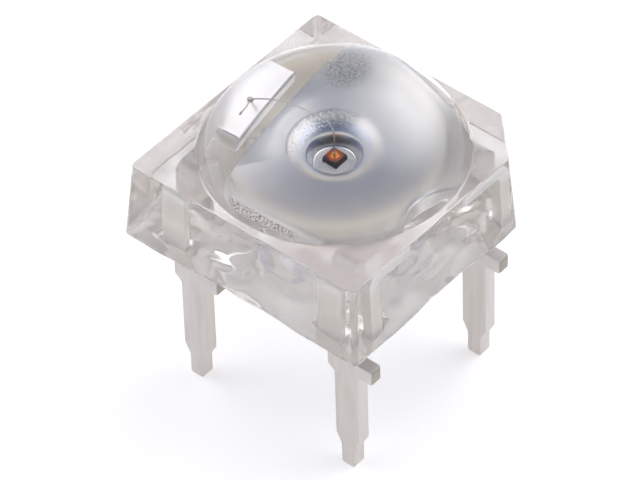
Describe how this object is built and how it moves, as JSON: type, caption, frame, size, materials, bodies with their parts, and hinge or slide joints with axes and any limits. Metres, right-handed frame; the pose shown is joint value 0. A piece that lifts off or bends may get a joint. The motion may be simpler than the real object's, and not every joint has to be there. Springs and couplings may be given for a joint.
{
  "type": "super flux led",
  "caption": "Clear square light-emitting diode with a dome lens, a cut polarity corner, a reflector cup and flat stamped leads for through-hole mounting on a circuit board.",
  "frame": {"origin": "on the lens axis, at the level of the lead tips", "axes": "+Z along the lens axis from the lead tips to the dome; the leads' flat faces look along Y; the bond post lies on the -X side and the cut corner is at +X, +Y"},
  "size_m": [0.0076, 0.0076, 0.0098],
  "materials": {
    "clear_epoxy": "clear cast epoxy, moulded gloss",
    "plated_frame": "satin silver plate over stamped copper alloy",
    "plated_post": "satin silver plate over stamped copper alloy",
    "chip": "sawn semiconductor, orange-red",
    "adhesive": "silver-filled adhesive",
    "gold_wire": "drawn gold wire"
  },
  "bodies": {
    "root": {"epoxy_body": "clear_epoxy", "cup_frame": "plated_frame", "post_frame": "plated_post", "led_chip": "chip", "die_attach": "adhesive", "bond_wire": "gold_wire"}
  },
  "joints": []
}
